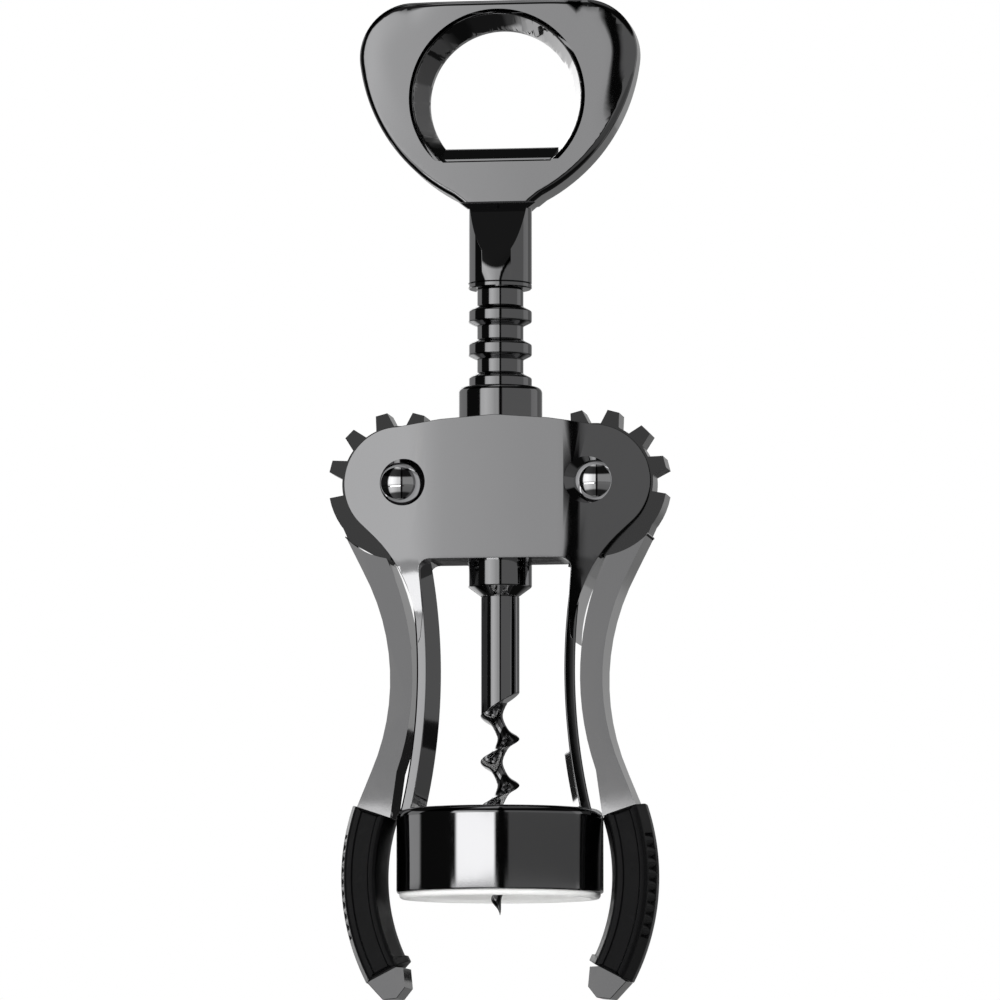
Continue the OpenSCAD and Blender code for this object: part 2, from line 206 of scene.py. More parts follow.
class Outline:
    """A line drawn in the upright XZ plane, from a plane merged to its first vertex."""

    def __init__(self, name, x, z):
        clear_selection()
        bpy.ops.mesh.primitive_plane_add(size=MM, location=(0, 0, 0))
        self.piece = named(name)
        bpy.ops.object.mode_set(mode="EDIT")
        bpy.ops.mesh.select_mode(type="VERT")
        bpy.ops.mesh.merge(type="CENTER")
        bpy.ops.transform.translate(value=(x, 0, z))
        self.at = Vector((x, 0, z))

    def line(self, *points):
        for x, z in points:
            step = Vector((x, 0, z)) - self.at
            bpy.ops.mesh.extrude_region_move(TRANSFORM_OT_translate={"value": step})
            self.at += step
        return self

    def arc(self, x, z, degrees, steps):
        """Turns about (x, z), from +X towards +Z where degrees are positive."""
        bpy.ops.mesh.spin(steps=steps, angle=math.radians(degrees), center=(x, 0, z), axis=(0, 1, 0))
        mesh = bmesh.from_edit_mesh(self.piece.data)
        self.at = next(v.co.copy() for v in mesh.verts if v.select)
        return self

    def lathe(self, steps=96):
        """Turns the line once about the screw's axis."""
        bpy.ops.mesh.select_all(action="SELECT")
        bpy.ops.mesh.spin(steps=steps, angle=math.tau, center=(0, 0, 0), axis=(0, 0, 1))
        tidy_mesh()
        return self.piece

    def plate(self, thickness, mirrored=False):
        """Closes the line and makes it a plate about the XZ plane."""
        if mirrored:
            modified(self.piece, "MIRROR", merge_threshold=MERGED)
            edit(self.piece)
        bpy.ops.mesh.select_all(action="SELECT")
        bpy.ops.mesh.remove_doubles(threshold=MERGED)
        bpy.ops.mesh.edge_face_add()
        bpy.ops.mesh.extrude_region_move(TRANSFORM_OT_translate={"value": (0, thickness, 0)})
        bpy.ops.mesh.select_all(action="SELECT")
        bpy.ops.transform.translate(value=(0, -thickness / 2, 0))
        tidy_mesh()
        return self.piece


def tidy_mesh():
    """Merges doubles and turns the faces outwards, in edit mode."""
    bpy.ops.mesh.select_all(action="SELECT")
    bpy.ops.mesh.remove_doubles(threshold=MERGED)
    bpy.ops.mesh.normals_make_consistent(inside=False)


def pick(piece, kind, test):
    """Selects the vertices, edges or faces that pass the test, in edit mode."""
    bpy.ops.mesh.select_mode(type=kind)
    bpy.ops.mesh.select_all(action="DESELECT")
    mesh = bmesh.from_edit_mesh(piece.data)
    parts = {"VERT": mesh.verts, "EDGE": mesh.edges, "FACE": mesh.faces}[kind]
    for part in parts:
        if test(part):
            part.select_set(True)
    bmesh.update_edit_mesh(piece.data)


def middle(edge):
    return (edge.verts[0].co + edge.verts[1].co) / 2


def sharp(edge, degrees=35):
    return len(edge.link_faces) == 2 and edge.calc_face_angle(0) > math.radians(degrees)


def round_edges(piece, width, segments, test=None):
    """Rounds the sharp edges, or those of them that pass the test."""
    edit(piece)
    pick(piece, "EDGE", lambda e: sharp(e) and (test is None or test(e)))
    bpy.ops.mesh.bevel(offset=width, segments=segments, affect="EDGES", clamp_overlap=True)


def rows(piece, axis, places):
    """Cuts rows of vertices across the piece, square to an axis."""
    edit(piece)
    for place in places:
        bpy.ops.mesh.select_all(action="SELECT")
        bpy.ops.mesh.bisect(plane_co=Vector(axis) * place, plane_no=axis)


def scale_depth(piece, share_at):
    """Scales how far the piece's points stand from the XZ plane, by a share for each place on it."""
    bpy.ops.object.mode_set(mode="OBJECT")
    for vertex in piece.data.vertices:
        vertex.co.y *= share_at(vertex.co.x, vertex.co.z)


def cut(piece, cutter):
    modified(piece, "BOOLEAN", object=cutter, solver="EXACT")
    bpy.data.objects.remove(cutter)


def cylinder(name, radius, start, end, vertices=64, top=None):
    """A round bar, or a cone where its other end has a radius of its own."""
    clear_selection()
    start, end = Vector(start), Vector(end)
    turned = (end - start).to_track_quat("Z", "Y").to_euler()
    bpy.ops.mesh.primitive_cone_add(
        vertices=vertices, radius1=radius, radius2=radius if top is None else top,
        depth=(end - start).length, location=(start + end) / 2, rotation=turned)
    settle()
    return named(name)


def block(name, low, high):
    clear_selection()
    low, high = Vector(low), Vector(high)
    bpy.ops.mesh.primitive_cube_add(size=1, location=(low + high) / 2, scale=high - low)
    settle()
    return named(name)


def join(piece, *others):
    only(piece)
    for other in others:
        other.select_set(True)
    bpy.ops.object.join()
    return piece


def copy_node(node, name):
    """A merged copy of a CAD node, with flat faces made whole."""
    clear_selection()
    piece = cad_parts[node].copy()
    piece.data = piece.data.copy()
    bpy.context.scene.collection.objects.link(piece)
    piece.parent = None
    piece.name = piece.data.name = name
    piece.hide_render = piece.hide_viewport = False
    edit(piece)
    bpy.ops.mesh.remove_doubles(threshold=MERGED)
    bpy.ops.mesh.dissolve_limited(angle_limit=math.radians(0.3))
    return piece


def other_side(piece, name):
    """A copy with its own mesh, mirrored to the other side of the YZ plane."""
    only(piece)
    bpy.ops.object.duplicate()
    copy = named(name)
    edit(copy)
    bpy.ops.transform.resize(value=(-1, 1, 1), center_override=(0, 0, 0))
    bpy.ops.mesh.normals_make_consistent(inside=False)
    return copy


def finish_piece(piece, material, body, slot, *nodes, angle=32):
    """Smooths, plates and hangs the piece on its body."""
    only(piece)
    bpy.ops.object.shade_smooth_by_angle(angle=math.radians(angle))
    modified(piece, "WEIGHTED_NORMAL", keep_sharp=True)
    piece.data.materials.clear()
    piece.data.materials.append(material)
    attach(piece, body)
    if nodes:
        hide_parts(*nodes)


# ---- Finishes ----


def node(tree, kind, **values):
    """A shader node, with its settings and the values of its input sockets."""
    made = tree.nodes.new(kind)
    for key, value in values.items():
        if key in made.inputs:
            made.inputs[key].default_value = value
        else:
            setattr(made, key, value)
    return made


def ranged(tree, value, start, end, low=0, high=1):
    """A value that runs from start to end, made to run from low to high."""
    made = tree.nodes.new("ShaderNodeMapRange")
    for key, bound in (("From Min", start), ("From Max", end), ("To Min", low), ("To Max", high)):
        made.inputs[key].default_value = bound
    tree.links.new(value, made.inputs["Value"])
    return made.outputs["Result"]


def reckoned(tree, operation, *values, clamped=False):
    """What a sum in the shader makes of other nodes' values."""
    made = node(tree, "ShaderNodeMath", operation=operation, use_clamp=clamped)
    for value, socket in zip(values, made.inputs):
        tree.links.new(value, socket)
    return made.outputs["Value"]


def blended(tree, amount, first, second):
    """The first colour where the amount is 0 and the second where it is 1."""
    made = node(tree, "ShaderNodeMix", data_type="RGBA")
    for value, socket in zip((amount, first, second), (made.inputs[0], made.inputs[6], made.inputs[7])):
        tree.links.new(value, socket)
    return made.outputs[2]


def group(name, *effects):
    """An empty node group that makes a surface from a place, a colour, a roughness and these effects."""
    tree = bpy.data.node_groups.new(name, "ShaderNodeTree")
    surface = [("Colour", "Color"), ("Roughness", "Float")]
    for direction, sockets in (("INPUT", [("Vector", "Vector"), *surface, *effects]),
                               ("OUTPUT", [*surface, ("Normal", "Vector")])):
        for label, kind in sockets:
            tree.interface.new_socket(label, in_out=direction, socket_type="NodeSocket" + kind)
    return tree, tree.nodes.new("NodeGroupInput"), tree.nodes.new("NodeGroupOutput")


def plating_group():
    """Thin plating over a casting: slow waves, fine grain, smudges and handled edges."""
    if "Plating" in bpy.data.node_groups:
        return bpy.data.node_groups["Plating"]
    tree, given, result = group(
        "Plating", ("Worn Colour", "Color"), ("Wear", "Float"), ("Waves", "Float"))
    link = tree.links.new
    waves = node(tree, "ShaderNodeTexNoise", Scale=95.0, Detail=2.0, Roughness=0.45)
    grain = node(tree, "ShaderNodeTexNoise", Scale=2600.0, Detail=3.0, Roughness=0.6)
    smudge = node(tree, "ShaderNodeTexNoise", Scale=42.0, Detail=5.0, Roughness=0.62, Distortion=0.6)
    for texture in (waves, grain, smudge):
        link(given.outputs["Vector"], texture.inputs["Vector"])
    geometry = tree.nodes.new("ShaderNodeNewGeometry")
    edges = ranged(tree, geometry.outputs["Pointiness"], 0.53, 0.62)
    broken = reckoned(tree, "MULTIPLY", edges, smudge.outputs["Fac"])
    amount = reckoned(tree, "MULTIPLY", broken, given.outputs["Wear"], clamped=True)
    colour = blended(tree, amount, given.outputs["Colour"], given.outputs["Worn Colour"])
    link(colour, result.inputs["Colour"])
    haze = ranged(tree, smudge.outputs["Fac"], 0.45, 0.75, 0, 0.05)
    link(reckoned(tree, "ADD", given.outputs["Roughness"], haze), result.inputs["Roughness"])
    fine = node(tree, "ShaderNodeBump", Strength=0.35, Distance=0.0000012)
    link(grain.outputs["Fac"], fine.inputs["Height"])
    slow = node(tree, "ShaderNodeBump", Distance=0.00003)
    link(given.outputs["Waves"], slow.inputs["Strength"])
    link(waves.outputs["Fac"], slow.inputs["Height"])
    link(fine.outputs["Normal"], slow.inputs["Normal"])
    link(slow.outputs["Normal"], result.inputs["Normal"])
    return tree


def moulding_group():
    """Moulded plastic: a fine grain from the mould, scuffs and a little dust."""
    if "Moulding" in bpy.data.node_groups:
        return bpy.data.node_groups["Moulding"]
    tree, given, result = group(
        "Moulding", ("Scuff Colour", "Color"), ("Scuffs", "Float"), ("Grain", "Float"))
    link = tree.links.new
    grain = node(tree, "ShaderNodeTexNoise", Scale=1900.0, Detail=4.0, Roughness=0.6)
    scuff = node(tree, "ShaderNodeTexNoise", Scale=210.0, Detail=6.0, Roughness=0.7, Distortion=1.2)
    for texture in (grain, scuff):
        link(given.outputs["Vector"], texture.inputs["Vector"])
    mask = ranged(tree, scuff.outputs["Fac"], 0.56, 0.78)
    amount = reckoned(tree, "MULTIPLY", mask, given.outputs["Scuffs"])
    colour = blended(tree, amount, given.outputs["Colour"], given.outputs["Scuff Colour"])
    link(colour, result.inputs["Colour"])
    uneven = ranged(tree, scuff.outputs["Fac"], 0.3, 0.7, -0.05, 0.07)
    rough = reckoned(tree, "ADD", given.outputs["Roughness"], uneven, clamped=True)
    link(rough, result.inputs["Roughness"])
    bump = node(tree, "ShaderNodeBump", Distance=0.00002)
    link(given.outputs["Grain"], bump.inputs["Strength"])
    link(grain.outputs["Fac"], bump.inputs["Height"])
    link(bump.outputs["Normal"], result.inputs["Normal"])
    return tree


def new_material(name):
    """A material with its Principled shader."""
    material = bpy.data.materials.new(name)
    material.use_nodes = True
    return material, next(n for n in material.node_tree.nodes if n.type == "BSDF_PRINCIPLED")


def surfaced(name, tree_of, values, **shader_values):
    """A material whose colour, roughness and normal come from one of the groups."""
    if name in bpy.data.materials:
        return bpy.data.materials[name]
    material, shader = new_material(name)
    tree = material.node_tree
    for key, value in shader_values.items():
        shader.inputs[key.replace("_", " ")].default_value = value
    place = node(tree, "ShaderNodeTexCoord")
    effect = node(tree, "ShaderNodeGroup", node_tree=tree_of())
    for key, value in values.items():
        effect.inputs[key].default_value = value
    tree.links.new(place.outputs["Object"], effect.inputs["Vector"])
    for source, target in (("Colour", "Base Color"), ("Roughness", "Roughness"), ("Normal", "Normal")):
        tree.links.new(effect.outputs[source], shader.inputs[target])
    return material


def black_chrome(part, waves, roughness, shade=1):
    look = finishes()
    colour = [shade * value for value in look.chrome]
    worn = [shade * value for value in look.chrome_worn]
    return surfaced(
        f"black chrome {part}", plating_group,
        {"Colour": (*colour, 1), "Worn Colour": (*worn, 1), "Wear": look.wear,
         "Waves": waves, "Roughness": roughness}, Metallic=1.0)


def bright_chrome():
    look = finishes()
    return surfaced(
        "bright chrome", plating_group,
        {"Colour": (*look.bright, 1), "Worn Colour": (*look.bright, 1), "Wear": 0.2, "Waves": 0.2,
         "Roughness": 0.05}, Metallic=1.0)


def grip_plastic():
    look = finishes()
    return surfaced(
        "black grip", moulding_group,
        {"Colour": (*look.grip, 1), "Scuff Colour": (0.012, 0.012, 0.0125, 1), "Scuffs": 0.5,
         "Grain": 0.3, "Roughness": 0.32}, Specular_IOR_Level=0.14)


def liner_plastic():
    look = finishes()
    return surfaced(
        "white liner", moulding_group,
        {"Colour": (*look.liner, 1), "Scuff Colour": (0.62, 0.61, 0.58, 1), "Scuffs": 0.35,
         "Grain": 0.25, "Roughness": 0.36})


def finish_frame(piece, *nodes, angle=32):
    finish_piece(piece, black_chrome("frame", 0.55, 0.045), "frame", "black_chrome_frame", *nodes, angle=angle)


# ---- Frame ----

YOKE_T = 15 * MM
YOKE_Z = 58.9 * MM
WAIST_Z = 39.4 * MM
LEG_OUT = 13.5 * MM
LEG_FACE = 1.4 * MM        # width of a leg's front face
LEG_HALF_T = 6 * MM
LEG_TAPER = 1.5 * MM       # how far a leg's outside comes in towards its back
LEG_BOW = 105 * MM
BORE_R = 5.66 * MM
COLLAR_R = 7.4 * MM
CHEEK_R = 9.75 * MM
FLARE_R = 26 * MM
SLOT_R = 13.13 * MM
SLOT_HALF_W = 3.8 * MM
RECESS_R = 4.5 * MM
PIN_R = 2 * MM
BELL_WALL = 1.3 * MM
BELL_TOP_T = 1.8 * MM
BELL_H = 14.5 * MM
CORK_R = 12.7 * MM


def leg_x(z, x):
    """How far out a leg's line that is at x at the waist has bowed at height z."""
    return x + LEG_BOW - math.sqrt(LEG_BOW ** 2 - (z - WAIST_Z) ** 2)


def crowned(x, crown, slope, flat, turned):
    """How far a face has fallen at x: crowned out to flat, then bending to a steady slope at turned."""
    inner, outer = min(abs(x), flat), max(0, abs(x) - turned)
    between = min(abs(x), turned) - inner
    start, end = flat / crown, math.tan(slope)
    bend = (end - start) / (turned - flat)
    return inner ** 2 / (2 * crown) + start * between + bend * between ** 2 / 2 + end * outer


def yoke_half_depth(x, z):
    """Half the yoke's depth: crowned across, and thinner towards the legs."""
    look = sizes()
    fall = crowned(x, look.yoke_crown, look.cheek_slope, 9.8 * MM, 15.2 * MM)
    down = min(1, max(0, (62 * MM - z) / (16 * MM)))
    legs = YOKE_T / 2 - 0.5 * MM - LEG_HALF_T + 0.15 * MM
    return YOKE_T / 2 - fall - legs * down * down * (3 - 2 * down)


class CORKSCREW_OT_yoke(bpy.types.Operator):
    """Models the yoke, with its cheeks, lever slots and pin recesses"""

    bl_idname = "corkscrew.yoke"
    bl_label = "Yoke"

    def execute(self, context):
        corner = 1.8 * MM
        corner_x = leg_x(YOKE_Z - corner, LEG_OUT - LEG_FACE) - 0.3 * MM
        flare_x = PIVOT_X + 22.44 * MM
        flare_z = PIVOT_Z - 28 * MM
        line = Outline("yoke", 0, YOKE_Z).line((corner_x - corner, YOKE_Z))
        line.arc(corner_x - corner, YOKE_Z - corner, -90, 6)
        line.line((leg_x(50 * MM, LEG_OUT - LEG_FACE) + 0.1 * MM, 50 * MM),
                  (flare_x - FLARE_R - 0.4 * MM, flare_z + MM), (flare_x - FLARE_R, flare_z))
        line.arc(flare_x, flare_z, -45, 12)
        low = CHEEK_R * math.sqrt(0.5)
        line.line((PIVOT_X + low, PIVOT_Z - low))
        line.arc(PIVOT_X, PIVOT_Z, 135, 28)
        line.line((COLLAR_R + 2 * MM, PIVOT_Z + 10.9 * MM), (0, PIVOT_Z + 11.6 * MM))
        yoke = line.plate(YOKE_T, mirrored=True)
        horn_z = 53 * MM
        round_edges(yoke, sizes().yoke_round, 5,
                    lambda e: middle(e).z > horn_z and abs(middle(e).y) > YOKE_T / 2 - 0.01 * MM)
        rows(yoke, (1, 0, 0), [k * 1.5 * MM for k in range(-17, 18)])
        rows(yoke, (0, 0, 1), [k * 2 * MM for k in range(23, 32)])
        scale_depth(yoke, lambda x, z: yoke_half_depth(x, z) / (YOKE_T / 2))
        cut(yoke, cylinder("bore", BORE_R, (0, 0, YOKE_Z - MM), (0, 0, PIVOT_Z + 20 * MM), 96))
        for side in (-1, 1):
            x = side * PIVOT_X
            cut(yoke, cylinder("slot", SLOT_R, (x, -SLOT_HALF_W, PIVOT_Z), (x, SLOT_HALF_W, PIVOT_Z), 96))
            near, far = sorted((side * (PIVOT_X - 8 * MM), side * 45 * MM))
            cut(yoke, block("slot", (near, -SLOT_HALF_W, PIVOT_Z), (far, SLOT_HALF_W, PIVOT_Z + 30 * MM)))
            seat = PIN_HI.y - 1.1 * MM
            deep, sunk_r = 1.2 * MM, PIN_HI.x - PIVOT_X
            far = 4 * deep
            wide_r = sunk_r + (RECESS_R - sunk_r) * far / deep
            for face in (-1, 1):
                cut(yoke, cylinder("recess", sunk_r, (x, face * seat, PIVOT_Z),
                                   (x, face * (seat + far), PIVOT_Z), 64, top=wide_r))
        finish_frame(yoke, "frame")
        return {"FINISHED"}


class CORKSCREW_OT_collar(bpy.types.Operator):
    """Models the collar that guides the rack, above and below the yoke"""

    bl_idname = "corkscrew.collar"
    bl_label = "Collar"

    def execute(self, context):
        top = FRAME_HI.z
        edge = MM
        line = Outline("collar", BORE_R, top - 0.3 * MM).line((BORE_R + 0.3 * MM, top))
        line.line((COLLAR_R - edge, top)).arc(COLLAR_R - edge, top - edge, -90, 6)
        line.line((COLLAR_R, PIVOT_Z), (BORE_R, PIVOT_Z), (BORE_R, top - 0.3 * MM))
        collar = line.lathe()
        finish_frame(collar)
        return {"FINISHED"}


class CORKSCREW_OT_legs(bpy.types.Operator):
    """Models the two bowed legs, ridged on the inside"""

    bl_idname = "corkscrew.legs"
    bl_label = "Legs"

    def execute(self, context):
        low_z = LIP_H + BELL_H - MM
        high_z = YOKE_Z + 2 * MM
        far = LEG_OUT + LEG_BOW
        inside = LEG_OUT - LEG_FACE
        outside = LEG_OUT + 0.4 * MM
        edge = 0.35 * MM
        lean = (outside - inside) * math.tan(sizes().leg_slope)
        ring = [(inside, -LEG_HALF_T), (outside - edge, lean - LEG_HALF_T),
                (outside, lean + edge - LEG_HALF_T), (outside - LEG_TAPER, LEG_HALF_T - edge),
                (outside - LEG_TAPER - edge, LEG_HALF_T), (inside - LEG_TAPER / 3, LEG_HALF_T),
                (inside - sizes().leg_ridge, 0)]
        leg = section("leg_right", [(x, y, WAIST_Z) for x, y in ring])
        edit(leg)
        start = math.asin((low_z - WAIST_Z) / LEG_BOW)
        stop = math.asin((high_z - WAIST_Z) / LEG_BOW)
        bpy.ops.mesh.edge_face_add()
        bpy.ops.transform.rotate(
            value=-start, orient_axis="Y", orient_type="GLOBAL", center_override=(far, 0, WAIST_Z))
        bpy.ops.mesh.spin(steps=40, angle=start - stop, center=(far, 0, WAIST_Z), axis=(0, 1, 0))
        tidy_mesh()
        round_edges(leg, 0.3 * MM, 3, lambda e: low_z + MM < middle(e).z < high_z - MM)
        left = other_side(leg, "leg_left")
        for piece in (leg, left):
            finish_frame(piece, angle=25)
        return {"FINISHED"}


class CORKSCREW_OT_bell(bpy.types.Operator):
    """Turns the bell that sits on the bottle's neck"""

    bl_idname = "corkscrew.bell"
    bl_label = "Bell"

    def execute(self, context):
        top = LIP_H + BELL_H
        shoulder = 1.4 * MM
        brim = 0.3 * MM
        inside = BELL_R - BELL_WALL
        line = Outline("bell", inside, LIP_H).line((BELL_R - brim, LIP_H))
        line.arc(BELL_R - brim, LIP_H + brim, 90, 4).line((BELL_R, top - shoulder))
        line.arc(BELL_R - shoulder, top - shoulder, 90, 8)
        line.line((CORK_R + brim, top)).arc(CORK_R + brim, top - brim, 90, 4)
        line.line((CORK_R, top - BELL_TOP_T), (inside, top - BELL_TOP_T), (inside, LIP_H))
        bell = line.lathe(128)
        finish_piece(bell, black_chrome("bell", 0.2, 0.04), "frame", "black_chrome_frame")
        return {"FINISHED"}


class CORKSCREW_OT_liner(bpy.types.Operator):
    """Turns the white liner, with its lip and the seat for the bottle's mouth"""

    bl_idname = "corkscrew.liner"
    bl_label = "Bell liner"

    def execute(self, context):
        outside = BELL_R - BELL_WALL
        inside = outside - 1.4 * MM
        top = LINER_HI.z
        lip = 0.6 * LIP_H
        edge = 0.5 * MM
        line = Outline("liner", inside, edge).line((inside + edge, 0), (LIP_R - lip, 0))
        line.arc(LIP_R - lip, lip, 90, 6).line((LIP_R, LIP_H), (outside, LIP_H), (outside, top))
        line.line((CORK_R, top), (CORK_R, top - 1.5 * MM), (inside, top - 1.5 * MM), (inside, edge))
        liner = line.lathe(128)
        round_edges(liner, 0.12 * MM, 2)
        finish_piece(liner, liner_plastic(), "frame", "white_plastic", "bell_liner")
        return {"FINISHED"}


class CORKSCREW_OT_pins(bpy.types.Operator):
    """Models the two domed pivot pins"""

    bl_idname = "corkscrew.pins"
    bl_label = "Pivot pins"

    def execute(self, context):
        head_r = PIN_HI.x - PIVOT_X
        rise = 1.1 * MM
        crown = (head_r ** 2 + rise ** 2) / (2 * rise)
        lean = math.degrees(math.asin(head_r / crown))
        line = Outline("pin_right", 0, PIN_HI.y).arc(0, PIN_HI.y - crown, -lean, 14)
        under = PIN_HI.y - rise - 0.25 * MM
        line.line((head_r - 0.1 * MM, under), (PIN_R, under), (PIN_R, 0))
        pin = line.lathe(64)
        modified(pin, "MIRROR", use_axis=(False, False, True), merge_threshold=MERGED)
        pin.rotation_euler = (math.radians(90), 0, 0)
        pin.location = (PIVOT_X, 0, PIVOT_Z)
        settle()
        left = other_side(pin, "pin_left")
        for piece, node_name in ((pin, "pivot_pin_right"), (left, "pivot_pin_left")):
            finish_piece(piece, bright_chrome(), "frame", "bright_chrome", node_name)
        return {"FINISHED"}


# ---- Rack and screw ----

RING_STEP = 5.9 * MM
RINGS = 6
GROOVE_R = 4.1 * MM
RING_EDGE = 0.95 * MM      # half a ring's thickness at its edge
RING_ROOT = 1.7 * MM       # half a ring's thickness at its root
SPINDLE_R = 2.4 * MM
WORM_PITCH = 8.1 * MM


class CORKSCREW_OT_rack(bpy.types.Operator):
    """Turns the ringed rack"""

    bl_idname = "corkscrew.rack"
    bl_label = "Rack"

    def execute(self, context):
        low, high = RACK_LO.z, RACK_HI.z
        bore = SPINDLE_R + 0.05 * MM
        bevel = 1.6 * MM
        line = Outline("rack", bore, low).line((WORM_HI.x, low), (RACK_R, low + bevel))
        line.line((RACK_R, PIVOT_Z - RING_STEP + RING_EDGE), (GROOVE_R, PIVOT_Z - RING_STEP + RING_ROOT))
        for ring in range(RINGS):
            z = PIVOT_Z + ring * RING_STEP
            line.line((GROOVE_R, z - RING_ROOT), (RACK_R, z - RING_EDGE), (RACK_R, z + RING_EDGE),
                      (GROOVE_R, z + RING_ROOT))
        line.line((GROOVE_R, high), (bore, high), (bore, low))
        rack = line.lathe(96)
        round_edges(rack, sizes().ring_round, 3,
                    lambda e: math.hypot(*e.verts[0].co.xy) > GROOVE_R - 0.1 * MM)
        finish_piece(rack, black_chrome("rack", 0.3, 0.05), "rack", "black_chrome_rack", "rack_sleeve")
        return {"FINISHED"}


class CORKSCREW_OT_washer(bpy.types.Operator):
    """Turns the washer between the rack and the head"""

    bl_idname = "corkscrew.washer"
    bl_label = "Thrust washer"

    def execute(self, context):
        low, high = WASHER_LO.z, WASHER_HI.z
        inside = SPINDLE_R + 0.05 * MM
        edge = 0.2 * MM
        line = Outline("washer", inside, low).line((RACK_R - edge, low), (RACK_R, low + edge))
        line.line((RACK_R, high - edge), (RACK_R - edge, high), (inside, high), (inside, low))
        washer = line.lathe(96)
        finish_piece(washer, black_chrome("rack", 0.3, 0.05), "rack", "black_chrome_rack", "thrust_washer")
        return {"FINISHED"}


class CORKSCREW_OT_screw(bpy.types.Operator):
    """Models the screw: a drop-shaped section turned down the axis, under a shank and a spindle"""

    bl_idname = "corkscrew.screw"
    bl_label = "Screw"

    def execute(self, context):
        reach = WORM_HI.x
        top = RACK_LO.z - 0.1 * MM
        helix_top = top - 18.7 * MM
        shank_right = helix_top + 1.9 * MM
        shank_left = helix_top - 2.2 * MM
        out_z = helix_top - 6.3 * MM
        tip_z = WORM_LO.z
        core, half_w, narrowing, taper = 0.5 * MM, 1.16 * MM, 0.45, 7 * MM
        around, per_turn = 18, 40
        turns = (helix_top - tip_z) / WORM_PITCH
        start = math.tau * (tip_z - out_z) / WORM_PITCH
        drop = []
        for k in range(around):
            a = math.tau * k / around
            x = (reach - core) / 2 + (reach + core) / 2 * math.cos(a)
            y = half_w * math.sin(a) * (1 - narrowing * math.cos(a))
            drop.append((x * math.cos(start) - y * math.sin(start),
                         x * math.sin(start) + y * math.cos(start), tip_z))
        thread = section("screw", drop)
        steps = round(per_turn * turns)
        modified(thread, "SCREW", angle=math.tau * turns, screw_offset=helix_top - tip_z, steps=steps,
                 render_steps=steps, use_merge_vertices=False)
        for vertex in thread.data.vertices:
            size = min(1, max(0.03, ((vertex.co.z - tip_z) / taper) ** 0.8))
            vertex.co.x *= size
            vertex.co.y *= size
        edit(thread)
        pick(thread, "EDGE", lambda e: len(e.link_faces) == 1)
        bpy.ops.mesh.edge_face_add()
        bpy.ops.mesh.select_all(action="SELECT")
        bpy.ops.mesh.normals_make_consistent(inside=False)
        shank = cylinder("shank", reach, (0, 0, shank_left - MM), (0, 0, top), 72)
        below = block("below", (-5 * reach, -5 * reach, -10 * reach), (5 * reach, 5 * reach, 0))
        below.rotation_euler = (0, -math.atan2(shank_right - shank_left, 2 * reach), 0)
        below.location = (0, 0, (shank_left + shank_right) / 2)
        settle()
        cut(shank, below)
        round_edges(shank, 0.15 * MM, 2)
        spindle = cylinder("spindle", SPINDLE_R, (0, 0, top - MM), (0, 0, STEM_Z), 48)
        stud = cylinder("stud", 1.5 * MM, (0, 0, STEM_Z - MM), (0, 0, WORM_HI.z), 48)
        join(thread, shank, spindle, stud)
        finish_piece(thread, black_chrome("screw", 0.25, 0.05), "handle", "black_chrome_screw", "worm",
                     angle=50)
        return {"FINISHED"}


# ---- Opener head ----

HEAD_T = 8.8 * MM
STEM_H = 14 * MM
CORNER_R = 9.5 * MM
FLANK_R = 31.7 * MM
FLANK_LEAN = math.radians(7.4)
PLATE_Z = STEM_Z + STEM_H
CORNER_X = HEAD_HI.x - CORNER_R
CORNER_Z = HEAD_TOP - CORNER_R
FLANK_X = CORNER_X - (FLANK_R - CORNER_R) * math.cos(FLANK_LEAN)
FLANK_Z = CORNER_Z + (FLANK_R - CORNER_R) * math.sin(FLANK_LEAN)
THROAT_R = 12.9 * MM
THROAT_DROP = 17.2 * MM
CATCH_DROP = 8.1 * MM
THROAT_LAND = 1.8 * MM
LEAD_IN = 2 * MM
RIM_SLOPE = 5.5 * MM       # how far inside the rim the upper corners begin to slope
RIM_BEND = 3.5 * MM        # how far the slope takes to become steady
SLOPE_LOW = 27 * MM        # how far under the head's top the corners' slope begins
SLOPE_FULL = 12 * MM       # and is whole
THROAT_ROUND = 0.9 * MM
CATCH_BEVEL = 3.4 * MM
SCOOP_H = 10.5 * MM
WEB_HALF_T = 2.2 * MM


def scoop_cutters():
    """The two slanted wedges, front and back, that thin the stem to a web under the plate."""
    cutters = []
    low = PLATE_Z - SCOOP_H
    for face in (-1, 1):
        y_low, y_high = sorted((face * WEB_HALF_T, face * 2 * RACK_R))
        wedge = block("scoop", (-2 * RACK_R, y_low, low), (2 * RACK_R, y_high, PLATE_Z))
        edit(wedge)
        pick(wedge, "VERT", lambda v: abs(v.co.y) < RACK_R and v.co.z < low + MM)
        bpy.ops.transform.translate(value=(0, face * (RACK_R - WEB_HALF_T), 0))
        bpy.ops.object.mode_set(mode="OBJECT")
        cutters.append(wedge)
    return cutters


def head_fall(x, z):
    """How far the head's face has fallen: crowned across, and sloping away along its upper corners' rim."""
    look = sizes()
    away = Vector((abs(x) - CORNER_X, z - CORNER_Z))
    if away.y < -away.x * math.tan(FLANK_LEAN):
        inside = FLANK_R - Vector((abs(x) - FLANK_X, z - FLANK_Z)).length
    else:
        inside = CORNER_R - Vector((max(0, away.x), away.y)).length
    inside += 0.8 * max(0, -away.x)
    slope = crowned(max(0, RIM_SLOPE - inside), look.head_crown, look.head_slope, 0, RIM_BEND)
    up = min(1, max(0, (z - HEAD_TOP + SLOPE_LOW) / (SLOPE_LOW - SLOPE_FULL)))
    return x ** 2 / (2 * look.head_crown) + slope * up


